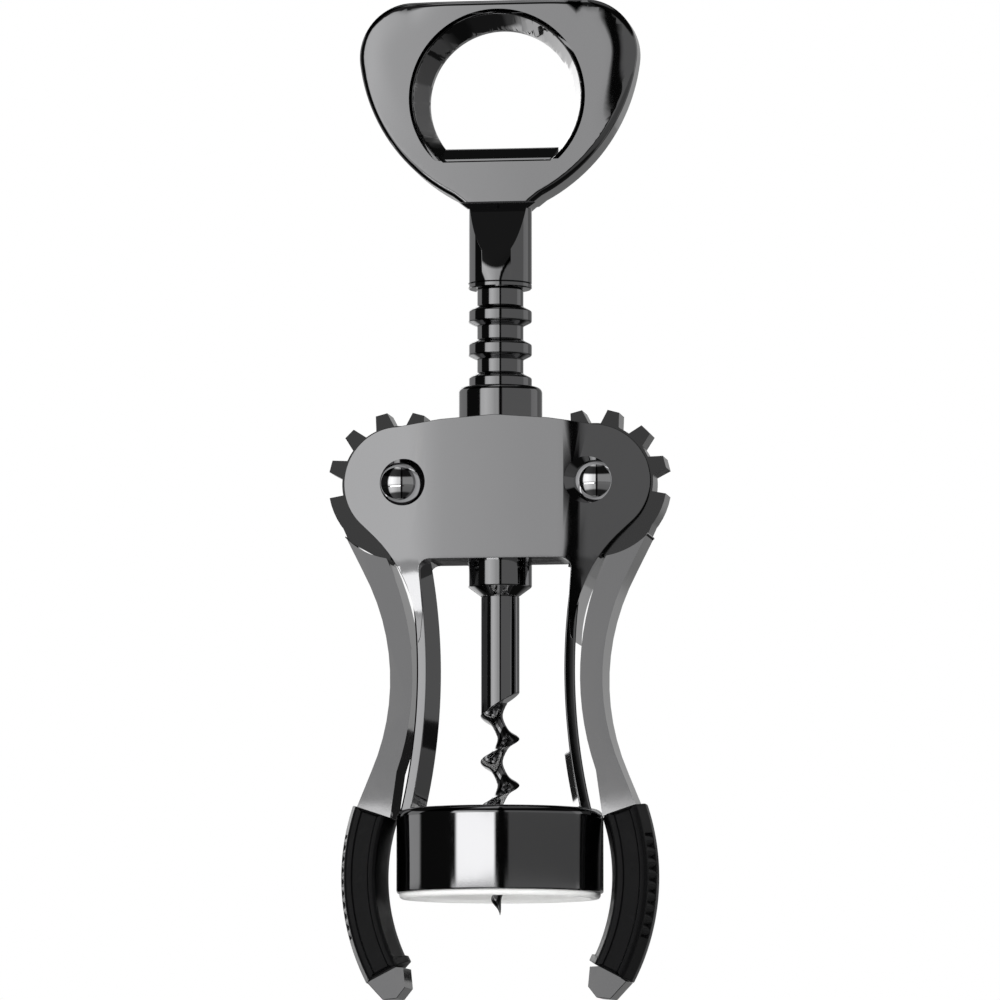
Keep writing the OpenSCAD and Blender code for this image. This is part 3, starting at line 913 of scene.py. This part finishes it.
def head_plate():
    low = math.asin((FLANK_Z - PLATE_Z - MM) / FLANK_R)
    line = Outline("head", 0, PLATE_Z - MM).line((RACK_R - 0.3 * MM, PLATE_Z - MM))
    line.line((FLANK_X + FLANK_R * math.cos(low), FLANK_Z - FLANK_R * math.sin(low)))
    line.arc(FLANK_X, FLANK_Z, math.degrees(low - FLANK_LEAN), 22)
    line.arc(CORNER_X, CORNER_Z, 90 + math.degrees(FLANK_LEAN), 20)
    line.line((0, HEAD_TOP))
    return line.plate(HEAD_T, mirrored=True)


def throat_cutters():
    """The throat's round, its opening out to the front and its rounded rim, each with a flat below."""
    z = HEAD_TOP - THROAT_DROP
    flat = z - CATCH_DROP
    land = HEAD_T / 2 - THROAT_LAND
    depth = HEAD_T - THROAT_LAND
    hole = cylinder("throat", THROAT_R, (0, -HEAD_T, z), (0, HEAD_T, z), 128)
    edit(hole)
    bpy.ops.mesh.bisect(plane_co=(0, 0, flat), plane_no=(0, 0, 1), use_fill=True, clear_inner=True)
    reach = 2 * depth
    mouth = cylinder("mouth", THROAT_R, (0, land, z), (0, land - reach, z), 128, top=THROAT_R + 2 * LEAD_IN)
    tilt = math.atan(CATCH_BEVEL / depth)
    clear_selection()
    below = Vector((0, -2 * reach * math.cos(tilt) + reach * math.sin(tilt),
                    -2 * reach * math.sin(tilt) - reach * math.cos(tilt)))
    bpy.ops.mesh.primitive_cube_add(size=1, location=Vector((0, land, flat)) + below, rotation=(tilt, 0, 0),
                                    scale=(6 * reach, 8 * reach, 2 * reach))
    settle()
    cut(mouth, named("catch"))
    cutters = [hole, mouth]
    lead = math.degrees(math.atan(LEAD_IN / depth))
    turned = (90 - lead) / 4
    back = THROAT_ROUND * math.tan(math.radians(2 * turned))
    chord = 2 * THROAT_ROUND * math.sin(math.radians(turned / 2))
    radius = THROAT_R + LEAD_IN - back * math.sin(math.radians(lead))
    front = back * math.cos(math.radians(lead)) - HEAD_T / 2
    for k in range(4):
        slope = math.radians(lead + (k + 0.5) * turned)
        inner, outer = 0.9 * MM, 1.5 * MM
        start, end = (0, front + inner, z), (0, front - outer, z)
        flare = cylinder(f"flare_{k}", radius - inner * math.tan(slope), start, end, 128,
                         top=radius + outer * math.tan(slope))
        edit(flare)
        bpy.ops.mesh.bisect(plane_co=(0, 0, flat - CATCH_BEVEL * 0.9), plane_no=(0, 0, 1), use_fill=True,
                            clear_inner=True)
        cutters.append(flare)
        radius += chord * math.sin(slope)
        front -= chord * math.cos(slope)
    return cutters


class CORKSCREW_OT_head(bpy.types.Operator):
    """Models the opener head: a crowned plate with a throat, on a scooped stem"""

    bl_idname = "corkscrew.head"
    bl_label = "Opener head"

    def execute(self, context):
        head = head_plate()
        face_y = HEAD_T / 2 - 0.01 * MM
        round_edges(head, sizes().head_round, 6,
                    lambda e: abs(middle(e).y) > face_y and middle(e).z > PLATE_Z - 0.9 * MM)
        for cutter in (*throat_cutters(), *scoop_cutters()):
            cut(head, cutter)
        rows(head, (1, 0, 0), [k * MM for k in range(-24, 25)])
        rows(head, (0, 0, 1), [PLATE_Z + k * MM for k in range(36)])
        scale_depth(head, lambda x, z: 1 - head_fall(x, z) / (HEAD_T / 2))
        stem = cylinder("stem", RACK_R, (0, 0, STEM_Z), (0, 0, PLATE_Z), 96)
        for cutter in scoop_cutters():
            cut(stem, cutter)
        round_edges(stem, 0.2 * MM, 3)
        join(head, stem)
        finish_piece(head, black_chrome("head", 0.6, 0.045), "handle", "black_chrome_head", "opener_head")
        return {"FINISHED"}


# ---- Levers and grips ----

GRIP_BOW = 32 * MM
GRIP_W = 7.85 * MM
GRIP_X = GRIP_HI.x - GRIP_BOW - GRIP_W
GRIP_Z = 3.75 * MM
GRIP_UP = 18.5             # degrees about the grip's bow
GRIP_DOWN = -27.5
RIBS = 9
RIB_STEP = 2.9             # degrees
LIP_ANGLE = 2.4            # how far up the lip at a grip's lower end goes, in degrees
LIP_RISE = 0.5 * MM


def paint_shade_on_teeth_darken_tips(piece):
    """Paints the toothed end, inside the arm's shoulder, darker as painted shade where it sits in the yoke's
    slot, and makes the tip below the grip darker too.
    """
    # Darker plating: painted shade on the teeth down in the slot, and only a darker tone on the tip.
    piece.data.materials.append(black_chrome("teeth", 0.5, 0.12, 0.16))
    edit(piece)
    pivot = Vector((math.copysign(PIVOT_X, piece.data.vertices[0].co.x), 0, PIVOT_Z))
    tip_z = GRIP_LO.z + 3.4 * MM
    pick(piece, "FACE", lambda f: f.calc_center_median().z < tip_z or
         ((f.calc_center_median() - pivot) * Vector((1, 0, 1))).length < SLOT_R - 0.2 * MM)
    piece.active_material_index = 1
    bpy.ops.object.material_slot_assign()
    bpy.ops.object.mode_set(mode="OBJECT")


class CORKSCREW_OT_levers(bpy.types.Operator):
    """Rounds the edges of the two toothed levers"""

    bl_idname = "corkscrew.levers"
    bl_label = "Levers"

    def execute(self, context):
        lever = copy_node("lever_right", "arm_right")
        teeth_z = PIVOT_Z - 11 * MM
        grip_top = GRIP_HI.z + MM
        round_edges(lever, sizes().arm_round, 3, lambda e: grip_top < middle(e).z < teeth_z)
        round_edges(lever, sizes().tooth_round, 2, lambda e: middle(e).z > teeth_z)
        round_edges(lever, 0.35 * MM, 3, lambda e: middle(e).z < GRIP_LO.z + 0.6 * MM)
        left = other_side(lever, "arm_left")
        for piece, side in ((lever, "lever_right"), (left, "lever_left")):
            finish_piece(piece, black_chrome("lever", 0.5, 0.05, 0.66), side, "black_chrome_lever", side)
            paint_shade_on_teeth_darken_tips(piece)
        return {"FINISHED"}


def rib_hollow(degrees):
    """How far the grip's outside is hollowed at an angle about its bow: rounded ribs with sharp valleys."""
    first = (GRIP_UP + GRIP_DOWN) / 2 + 2 - RIBS / 2 * RIB_STEP
    phase = (degrees - first) / RIB_STEP
    if phase <= 0 or phase >= RIBS:
        return 0
    return sizes().rib_depth * (1 - abs(math.sin(math.pi * phase)) ** 0.7)


class CORKSCREW_OT_grips(bpy.types.Operator):
    """Models the two grips, with sunk panels and a ribbed outside"""

    bl_idname = "corkscrew.grips"
    bl_label = "Grips"

    def execute(self, context):
        half_t = GRIP_HI.y
        inner = GRIP_BOW
        outer = GRIP_BOW + GRIP_W
        centre = Vector((GRIP_X, 0, GRIP_Z))
        corner = 0.55 * MM
        border = sizes().panel_border - corner
        side_w, side_t = 1.25 * MM, 4.6 * MM
        per_rib = 8
        steps = round((GRIP_UP - GRIP_DOWN) / RIB_STEP * per_rib)
        quarter = [(outer - side_w, half_t), (outer, half_t - side_t)]
        ring = quarter + [(x, -y) for x, y in reversed(quarter)]
        ring += [(inner + outer - x, y) for x, y in reversed(ring)]
        grip = section("sleeve_right", [(GRIP_X + x, y, GRIP_Z) for x, y in ring])
        edit(grip)
        bpy.ops.mesh.edge_face_add()
        bpy.ops.transform.rotate(value=math.radians(GRIP_DOWN), orient_axis="Y", orient_type="GLOBAL",
                                 center_override=centre)
        sweep = math.radians(GRIP_UP - GRIP_DOWN)
        bpy.ops.mesh.spin(steps=steps, angle=sweep, center=centre, axis=(0, 1, 0))
        tidy_mesh()

        def bow(place):
            offset = place - centre
            return math.hypot(offset.x, offset.z), math.degrees(math.atan2(offset.z, offset.x))

        def sink(vertex, depth):
            radial = (vertex.co - centre) * Vector((1, 0, 1))
            vertex.co -= radial.normalized() * depth

        def along(edge):
            return abs(bow(edge.verts[0].co)[1] - bow(edge.verts[1].co)[1]) > 0.05

        round_edges(grip, corner, 4, along)
        pick(grip, "FACE", lambda f: abs(f.normal.y) > 0.999)
        bpy.ops.mesh.inset(thickness=border, depth=0)
        bpy.ops.mesh.inset(thickness=0.25 * MM, depth=-sizes().panel_depth)

        def outside(face):
            away, degrees = bow(face.calc_center_median())
            return away > outer - side_w and 0.2 < abs(face.normal.y) < 0.3 and GRIP_DOWN < degrees < GRIP_UP

        pick(grip, "FACE", outside)
        bpy.ops.mesh.inset(thickness=0.35 * MM, depth=0)
        bpy.ops.mesh.inset(thickness=0.06 * MM, depth=0)
        mesh = bmesh.from_edit_mesh(grip.data)
        for vertex in {v for f in mesh.faces if f.select for v in f.verts}:
            sink(vertex, rib_hollow(bow(vertex.co)[1]))
        for vertex in mesh.verts:
            away, degrees = bow(vertex.co)
            if degrees < GRIP_DOWN + LIP_ANGLE and away < inner + 0.1 * MM:
                sink(vertex, LIP_RISE)
        bmesh.update_edit_mesh(grip.data)
        round_edges(grip, 0.25 * MM, 2, lambda e: not GRIP_DOWN + 0.1 < bow(middle(e))[1] < GRIP_UP - 0.1)
        left = other_side(grip, "sleeve_left")
        for piece, side in ((grip, "right"), (left, "left")):
            finish_piece(piece, grip_plastic(), "lever_" + side, "black_grip", "grip_" + side)
        return {"FINISHED"}


# ---- Stage ----


# Brightness of what stands round the corkscrew, by degrees to the right of the camera
PANELS = [(-180, 0.4), (-175, 0.4), (-171, 1.7), (-150, 1.7), (-145, 0.4), (-104, 0.4), (-101, 0.01),
          (-57, 0.01), (-54, 1.1), (-39, 1.25), (-20, 0.95), (-14, 0.8), (-8, 0.8), (-3.2, 0.75),
          (-2.6, 0.005), (5.2, 0.005), (6, 0.24), (93, 0.24), (96, 0.4), (120, 0.42), (126, 0.2),
          (155, 0.2), (160, 0.4), (180, 0.4)]
# The same for the low ring that only the bell's wall mirrors
LOW_PANELS = [(-180, 0.02), (-131, 0.02), (-126, 0.6), (-100, 0.6), (-96, 0.01), (-50, 0.01), (-47, 2.9),
              (-7, 2.9), (-4.5, 0.005), (8, 0.005), (10, 0.15), (96, 0.145), (101, 0.01), (180, 0.02)]
BRIGHTEST = 3
# How much of it is left, by height on a globe round the corkscrew, from -1 below to 1 above
BANDS = [(-1, 0.8), (-0.93, 0.8), (-0.88, 0.05), (-0.6, 0.05), (-0.5, 0.5), (-0.04, 0.6), (-0.02, 1),
         (0.42, 1), (0.5, 0.03), (0.86, 0.03), (0.93, 0.6), (1, 0.6)]


def graded(tree, value, stops, half_span, scale=1):
    """A grey ramp over a value that runs from minus to plus half_span."""
    graded_node = node(tree, "ShaderNodeValToRGB")
    ramp = graded_node.color_ramp
    ramp.elements.remove(ramp.elements[1])
    for place, grey in stops:
        element = ramp.elements.new((place / half_span + 1) / 2)
        element.color = (grey / scale, grey / scale, grey / scale, 1)
    ramp.elements.remove(ramp.elements[0])
    tree.links.new(ranged(tree, value, -half_span, half_span), graded_node.inputs["Fac"])
    return graded_node.outputs["Color"]


def bearing(tree, coordinates, heading):
    """Degrees to the right of the camera, and height, of a direction or a place about the upright axis."""
    place = node(tree, "ShaderNodeTexCoord")
    turned = node(tree, "ShaderNodeMapping", vector_type="POINT")
    turned.inputs["Rotation"].default_value = (0, 0, math.radians(90) - heading)
    split = node(tree, "ShaderNodeSeparateXYZ")
    tree.links.new(place.outputs[coordinates], turned.inputs["Vector"])
    tree.links.new(turned.outputs["Vector"], split.inputs["Vector"])
    around = reckoned(tree, "ARCTAN2", split.outputs["Y"], split.outputs["X"])
    return reckoned(tree, "DEGREES", around), split.outputs["Z"]


def studio_world(heading):
    """Grey, black and white panels round the object, which only reflections see, before a white ground."""
    world = bpy.data.worlds.new("Studio")
    bpy.context.scene.world = world
    world.use_nodes = True
    tree = world.node_tree
    tree.nodes.clear()
    link = tree.links.new
    degrees, height = bearing(tree, "Generated", heading)
    banded = node(tree, "ShaderNodeMix", data_type="RGBA", blend_type="MULTIPLY")
    banded.inputs[0].default_value = 1
    link(graded(tree, degrees, PANELS, 180, BRIGHTEST), banded.inputs[6])
    link(graded(tree, height, BANDS, 1), banded.inputs[7])
    light = node(tree, "ShaderNodeBackground", Strength=BRIGHTEST)
    link(banded.outputs[2], light.inputs["Color"])
    ground = node(tree, "ShaderNodeBackground", Color=(1, 1, 1, 1), Strength=1.0)
    seen = node(tree, "ShaderNodeLightPath")
    mix = node(tree, "ShaderNodeMixShader")
    link(seen.outputs["Is Camera Ray"], mix.inputs["Fac"])
    link(light.outputs["Background"], mix.inputs[1])
    link(ground.outputs["Background"], mix.inputs[2])
    out = node(tree, "ShaderNodeOutputWorld")
    link(mix.outputs["Shader"], out.inputs["Surface"])


def low_ring(stage):
    """A low ring of panels at the height where the bell's wall mirrors it, seen by reflections alone."""
    radius = 0.3
    edges = []
    for z in (LIP_H, LIP_H + BELL_H):
        edges.append(z + radius * (z - stage.height) / stage.distance)
    clear_selection()
    bpy.ops.mesh.primitive_cylinder_add(
        vertices=180, radius=radius, depth=edges[1] - edges[0], end_fill_type="NOTHING",
        location=(0, 0, sum(edges) / 2))
    settle()
    ring = named("low_panels")
    ring.visible_camera = ring.visible_diffuse = ring.visible_shadow = ring.visible_transmission = False
    material = new_material("low panels")[0]
    tree = material.node_tree
    tree.nodes.clear()
    degrees = bearing(tree, "Object", stage.heading)[0]
    glow = node(tree, "ShaderNodeEmission", Strength=BRIGHTEST)
    tree.links.new(graded(tree, degrees, LOW_PANELS, 180, BRIGHTEST), glow.inputs["Color"])
    out = node(tree, "ShaderNodeOutputMaterial")
    tree.links.new(glow.outputs["Emission"], out.inputs["Surface"])
    ring.data.materials.append(material)


def soft_light(name, place, aim, size, power):
    clear_selection()
    bpy.ops.object.light_add(type="AREA", location=place)
    light = bpy.context.object
    light.name = light.data.name = name
    light.data.size = size
    light.data.energy = power
    light.rotation_euler = (Vector(aim) - Vector(place)).to_track_quat("-Z", "Y").to_euler()
    light.visible_glossy = False
    light.visible_camera = False


class CORKSCREW_OT_stage(bpy.types.Operator):
    """Sets up the floor, the soft studio light and the camera"""

    bl_idname = "corkscrew.stage"
    bl_label = "Stage"

    def execute(self, context):
        stage = context.scene.corkscrew_stage
        context.scene.view_settings.view_transform = "Standard"
        studio_world(stage.heading)
        low_ring(stage)
        clear_selection()
        bpy.ops.mesh.primitive_circle_add(
            vertices=128, radius=4, fill_type="NGON", location=(0, 0, stage.floor_z))
        settle()
        floor = named("floor")
        floor.visible_glossy = False
        material, shader = new_material("pale floor")
        shader.inputs["Base Color"].default_value = (0.85, 0.85, 0.85, 1)
        shader.inputs["Roughness"].default_value = 0.9
        floor.data.materials.append(material)
        middle_z = (CAD_BOX[0].z + CAD_BOX[1].z) / 2
        soft_light("key", (-0.7, -0.9, 0.9), (0, 0, middle_z), 0.9, 14)
        soft_light("fill", (0.9, -0.6, 0.5), (0, 0, middle_z), 0.9, 7)
        soft_light("top", (0, 0.1, 1.3), (0, 0, 0), 1.2, 12)
        soft_light("low", (-0.2, -0.9, -0.05), (0, 0, 0), 0.4, 2)
        away = stage.distance
        place = Vector((away * math.sin(stage.heading), -away * math.cos(stage.heading), stage.height))
        aim = Vector((0, 0, CAD_BOX[1].z - stage.view_height / 2 - 0.4 * MM))
        clear_selection()
        bpy.ops.object.camera_add(location=place, rotation=(aim - place).to_track_quat("-Z", "Y").to_euler())
        camera = bpy.context.object
        camera.data.lens = camera.data.sensor_width * (aim - place).length / stage.view_height
        context.scene.camera = camera
        return {"FINISHED"}


OPERATORS = (
    CORKSCREW_OT_yoke, CORKSCREW_OT_collar, CORKSCREW_OT_legs, CORKSCREW_OT_bell, CORKSCREW_OT_liner,
    CORKSCREW_OT_pins, CORKSCREW_OT_rack, CORKSCREW_OT_washer, CORKSCREW_OT_screw, CORKSCREW_OT_head,
    CORKSCREW_OT_levers, CORKSCREW_OT_grips, CORKSCREW_OT_stage,
)


class CORKSCREW_PT_panel(bpy.types.Panel):
    """Lists the corkscrew's sizes, finishes and pieces"""

    bl_idname = "CORKSCREW_PT_panel"
    bl_label = "Corkscrew"
    bl_space_type = "VIEW_3D"
    bl_region_type = "UI"
    bl_category = "Corkscrew"

    def draw(self, context):
        for settings in GROUPS:
            values = getattr(context.scene, settings)
            box = self.layout.box()
            for key in values.bl_rna.properties.keys():
                if key not in ("name", "rna_type"):
                    box.prop(values, key)
        for operator in OPERATORS:
            self.layout.operator(operator.bl_idname)


GROUPS = {
    "corkscrew_sizes": CorkscrewSizes,
    "corkscrew_finishes": CorkscrewFinishes,
    "corkscrew_stage": CorkscrewStage,
}


def register():
    for key, settings in GROUPS.items():
        bpy.utils.register_class(settings)
        setattr(bpy.types.Scene, key, bpy.props.PointerProperty(type=settings))
    for operator in OPERATORS:
        bpy.utils.register_class(operator)
    bpy.utils.register_class(CORKSCREW_PT_panel)


def unregister():
    bpy.utils.unregister_class(CORKSCREW_PT_panel)
    for operator in reversed(OPERATORS):
        bpy.utils.unregister_class(operator)
    for key, settings in GROUPS.items():
        delattr(bpy.types.Scene, key)
        bpy.utils.unregister_class(settings)


def main():
    register()
    for operator in OPERATORS:
        getattr(bpy.ops.corkscrew, operator.bl_idname.split(".")[1])()


if __name__ == "__main__":
    main()
